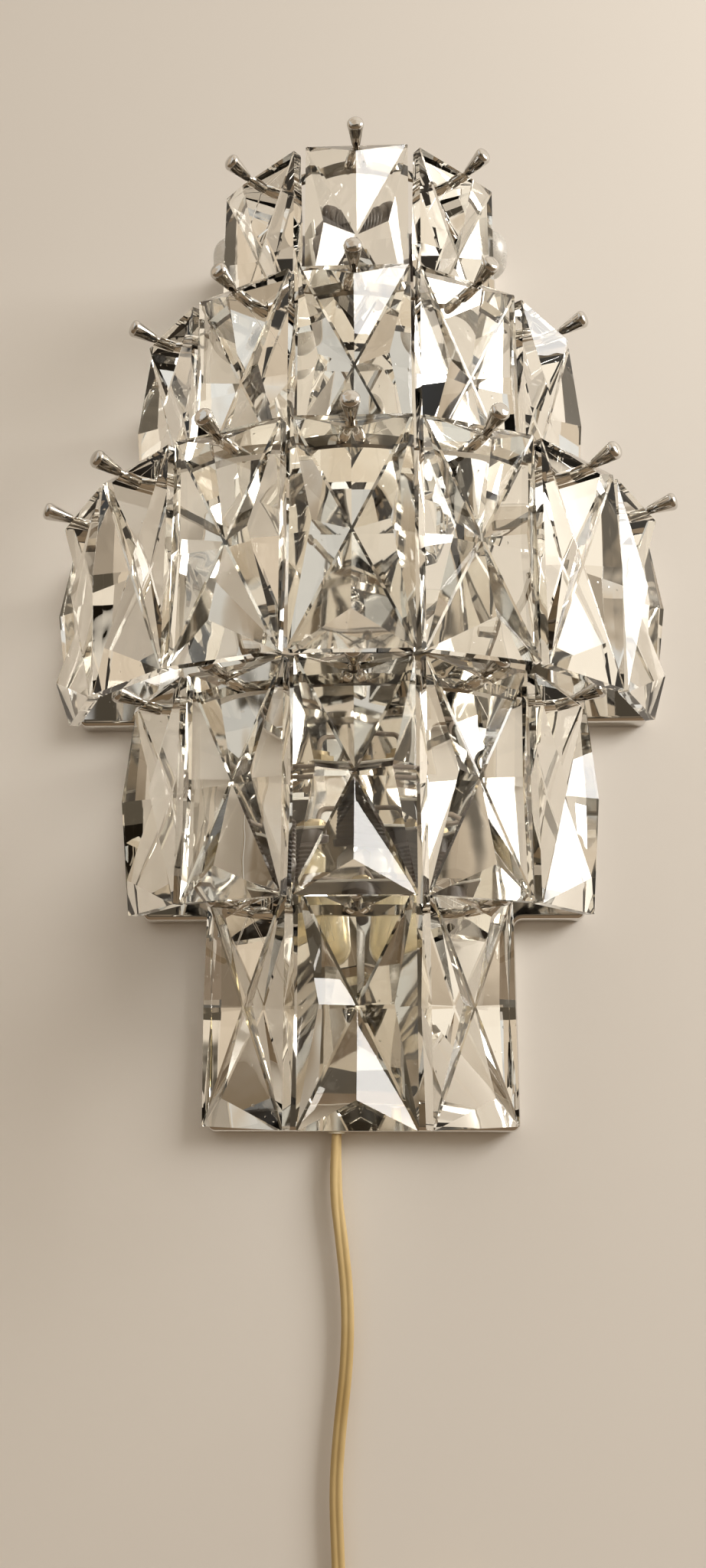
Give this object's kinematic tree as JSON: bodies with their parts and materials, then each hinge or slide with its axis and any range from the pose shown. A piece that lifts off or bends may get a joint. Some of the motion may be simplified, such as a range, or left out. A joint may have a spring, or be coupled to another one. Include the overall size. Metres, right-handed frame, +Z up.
{
  "type": "crystal wall sconce",
  "caption": "Tiered half-round wall light: faceted clear crystals hung on chrome bands with screw-in finials, stepped polished back plate, tubular lamps, mains flex.",
  "frame": {"origin": "on the wall, midway between the two wall screws, at the mid-height of the middle tier of crystals", "axes": "+X to the viewer's right, +Y into the wall, +Z up"},
  "size_m": [0.2956, 0.1768, 0.8089],
  "materials": {
    "crystal_glass": "clear moulded lead glass, polished, with small moulding flaws",
    "polished_chrome": "mirror polished",
    "plated_steel": "plain zinc-plated sheet",
    "holder_plastic": "dark moulded phenolic, semi-gloss",
    "shell_brass": "rolled sheet",
    "nipple_brass": "turned",
    "clear_lamp_glass": "thin blown glass, faint haze",
    "amber_lamp_glass": "thin blown glass, amber tint",
    "cap_metal": "rolled cap, dull",
    "lead_insulation": "plain insulated wire",
    "block_plastic": "moulded, plain",
    "grommet_plastic": "soft moulding",
    "flex_ivory": "flat twin flex, yellowed ivory",
    "plug_ivory": "moulded, slightly glossy"
  },
  "bodies": {
    "fixture": {"backplate": "polished_chrome", "cord_grommet": "grommet_plastic", "finials_bottom": "polished_chrome", "finials_lower": "polished_chrome", "finials_middle": "polished_chrome", "finials_top": "polished_chrome", "finials_upper": "polished_chrome", "flex_coil": "flex_ivory", "flex_inside": "flex_ivory", "holder_high_left": "holder_plastic", "holder_high_right": "holder_plastic", "holder_low_left": "holder_plastic", "holder_low_middle": "holder_plastic", "holder_low_right": "holder_plastic", "holder_nipples": "nipple_brass", "holder_shells": "shell_brass", "lamp_caps": "cap_metal", "lamp_high_left": "clear_lamp_glass", "lamp_high_right": "clear_lamp_glass", "lamp_leads": "lead_insulation", "lamp_low_left": "clear_lamp_glass", "lamp_low_middle": "amber_lamp_glass", "lamp_low_right": "clear_lamp_glass", "lower_lamp_bracket": "plated_steel", "mains_flex": "flex_ivory", "plate_screws": "polished_chrome", "plug_body": "plug_ivory", "plug_pins": "nipple_brass", "ring_bottom": "polished_chrome", "ring_lower": "polished_chrome", "ring_middle": "polished_chrome", "ring_top": "polished_chrome", "ring_upper": "polished_chrome", "terminal_block": "block_plastic", "terminal_screws": "nipple_brass", "upper_lamp_bracket": "plated_steel", "wall_bar": "plated_steel"},
    "hung_crystal_top_1": {"crystal_top_1": "crystal_glass"},
    "hung_crystal_top_2": {"crystal_top_2": "crystal_glass"},
    "hung_crystal_top_3": {"crystal_top_3": "crystal_glass"},
    "hung_crystal_upper_1": {"crystal_upper_1": "crystal_glass"},
    "hung_crystal_upper_2": {"crystal_upper_2": "crystal_glass"},
    "hung_crystal_upper_3": {"crystal_upper_3": "crystal_glass"},
    "hung_crystal_upper_4": {"crystal_upper_4": "crystal_glass"},
    "hung_crystal_upper_5": {"crystal_upper_5": "crystal_glass"},
    "hung_crystal_middle_1": {"crystal_middle_1": "crystal_glass"},
    "hung_crystal_middle_2": {"crystal_middle_2": "crystal_glass"},
    "hung_crystal_middle_3": {"crystal_middle_3": "crystal_glass"},
    "hung_crystal_middle_4": {"crystal_middle_4": "crystal_glass"},
    "hung_crystal_middle_5": {"crystal_middle_5": "crystal_glass"},
    "hung_crystal_middle_6": {"crystal_middle_6": "crystal_glass"},
    "hung_crystal_middle_7": {"crystal_middle_7": "crystal_glass"},
    "hung_crystal_lower_1": {"crystal_lower_1": "crystal_glass"},
    "hung_crystal_lower_2": {"crystal_lower_2": "crystal_glass"},
    "hung_crystal_lower_3": {"crystal_lower_3": "crystal_glass"},
    "hung_crystal_lower_4": {"crystal_lower_4": "crystal_glass"},
    "hung_crystal_lower_5": {"crystal_lower_5": "crystal_glass"},
    "hung_crystal_bottom_1": {"crystal_bottom_1": "crystal_glass"},
    "hung_crystal_bottom_2": {"crystal_bottom_2": "crystal_glass"},
    "hung_crystal_bottom_3": {"crystal_bottom_3": "crystal_glass"}
  },
  "joints": [
    {"name": "swing_top_1", "type": "hinge", "parent": "fixture", "child": "hung_crystal_top_1", "pos_m": [-0.0485, -0.07155, 0.2288], "axis": [-0.7591, 0.651, 0], "range_deg": [0, 6]},
    {"name": "swing_top_2", "type": "hinge", "parent": "fixture", "child": "hung_crystal_top_2", "pos_m": [0, -0.0895, 0.2288], "axis": [-1, 0, 0], "range_deg": [0, 6]},
    {"name": "swing_top_3", "type": "hinge", "parent": "fixture", "child": "hung_crystal_top_3", "pos_m": [0.0485, -0.07155, 0.2288], "axis": [-0.7591, -0.651, 0], "range_deg": [0, 6]},
    {"name": "swing_upper_1", "type": "hinge", "parent": "fixture", "child": "hung_crystal_upper_1", "pos_m": [-0.0894, -0.0756, 0.1373], "axis": [-0.5611, 0.8277, 0], "range_deg": [0, 6]},
    {"name": "swing_upper_2", "type": "hinge", "parent": "fixture", "child": "hung_crystal_upper_2", "pos_m": [-0.05059, -0.11042, 0.1373], "axis": [-0.8835, 0.4685, 0], "range_deg": [0, 6]},
    {"name": "swing_upper_3", "type": "hinge", "parent": "fixture", "child": "hung_crystal_upper_3", "pos_m": [0, -0.123, 0.1373], "axis": [-1, 0, 0], "range_deg": [0, 6]},
    {"name": "swing_upper_4", "type": "hinge", "parent": "fixture", "child": "hung_crystal_upper_4", "pos_m": [0.05059, -0.11042, 0.1373], "axis": [-0.8835, -0.4685, 0], "range_deg": [0, 6]},
    {"name": "swing_upper_5", "type": "hinge", "parent": "fixture", "child": "hung_crystal_upper_5", "pos_m": [0.0894, -0.0756, 0.1373], "axis": [-0.5611, -0.8277, 0], "range_deg": [0, 6]},
    {"name": "swing_middle_1", "type": "hinge", "parent": "fixture", "child": "hung_crystal_middle_1", "pos_m": [-0.12588, -0.07275, 0.0458], "axis": [-0.417, 0.9089, 0], "range_deg": [0, 6]},
    {"name": "swing_middle_2", "type": "hinge", "parent": "fixture", "child": "hung_crystal_middle_2", "pos_m": [-0.09546, -0.11535, 0.0458], "axis": [-0.7245, 0.6892, 0], "range_deg": [0, 6]},
    {"name": "swing_middle_3", "type": "hinge", "parent": "fixture", "child": "hung_crystal_middle_3", "pos_m": [-0.0514, -0.14361, 0.0458], "axis": [-0.9286, 0.3711, 0], "range_deg": [0, 6]},
    {"name": "swing_middle_4", "type": "hinge", "parent": "fixture", "child": "hung_crystal_middle_4", "pos_m": [0, -0.1535, 0.0458], "axis": [-1, 0, 0], "range_deg": [0, 6]},
    {"name": "swing_middle_5", "type": "hinge", "parent": "fixture", "child": "hung_crystal_middle_5", "pos_m": [0.0514, -0.14361, 0.0458], "axis": [-0.9286, -0.3711, 0], "range_deg": [0, 6]},
    {"name": "swing_middle_6", "type": "hinge", "parent": "fixture", "child": "hung_crystal_middle_6", "pos_m": [0.09546, -0.11535, 0.0458], "axis": [-0.7245, -0.6892, 0], "range_deg": [0, 6]},
    {"name": "swing_middle_7", "type": "hinge", "parent": "fixture", "child": "hung_crystal_middle_7", "pos_m": [0.12588, -0.07275, 0.0458], "axis": [-0.417, -0.9089, 0], "range_deg": [0, 6]},
    {"name": "swing_lower_1", "type": "hinge", "parent": "fixture", "child": "hung_crystal_lower_1", "pos_m": [-0.0894, -0.0756, -0.0457], "axis": [-0.5611, 0.8277, 0], "range_deg": [0, 6]},
    {"name": "swing_lower_2", "type": "hinge", "parent": "fixture", "child": "hung_crystal_lower_2", "pos_m": [-0.05059, -0.11042, -0.0457], "axis": [-0.8835, 0.4685, 0], "range_deg": [0, 6]},
    {"name": "swing_lower_3", "type": "hinge", "parent": "fixture", "child": "hung_crystal_lower_3", "pos_m": [0, -0.123, -0.0457], "axis": [-1, 0, 0], "range_deg": [0, 6]},
    {"name": "swing_lower_4", "type": "hinge", "parent": "fixture", "child": "hung_crystal_lower_4", "pos_m": [0.05059, -0.11042, -0.0457], "axis": [-0.8835, -0.4685, 0], "range_deg": [0, 6]},
    {"name": "swing_lower_5", "type": "hinge", "parent": "fixture", "child": "hung_crystal_lower_5", "pos_m": [0.0894, -0.0756, -0.0457], "axis": [-0.5611, -0.8277, 0], "range_deg": [0, 6]},
    {"name": "swing_bottom_1", "type": "hinge", "parent": "fixture", "child": "hung_crystal_bottom_1", "pos_m": [-0.0485, -0.07155, -0.1372], "axis": [-0.7591, 0.651, 0], "range_deg": [0, 6]},
    {"name": "swing_bottom_2", "type": "hinge", "parent": "fixture", "child": "hung_crystal_bottom_2", "pos_m": [0, -0.0895, -0.1372], "axis": [-1, 0, 0], "range_deg": [0, 6]},
    {"name": "swing_bottom_3", "type": "hinge", "parent": "fixture", "child": "hung_crystal_bottom_3", "pos_m": [0.0485, -0.07155, -0.1372], "axis": [-0.7591, -0.651, 0], "range_deg": [0, 6]}
  ]
}
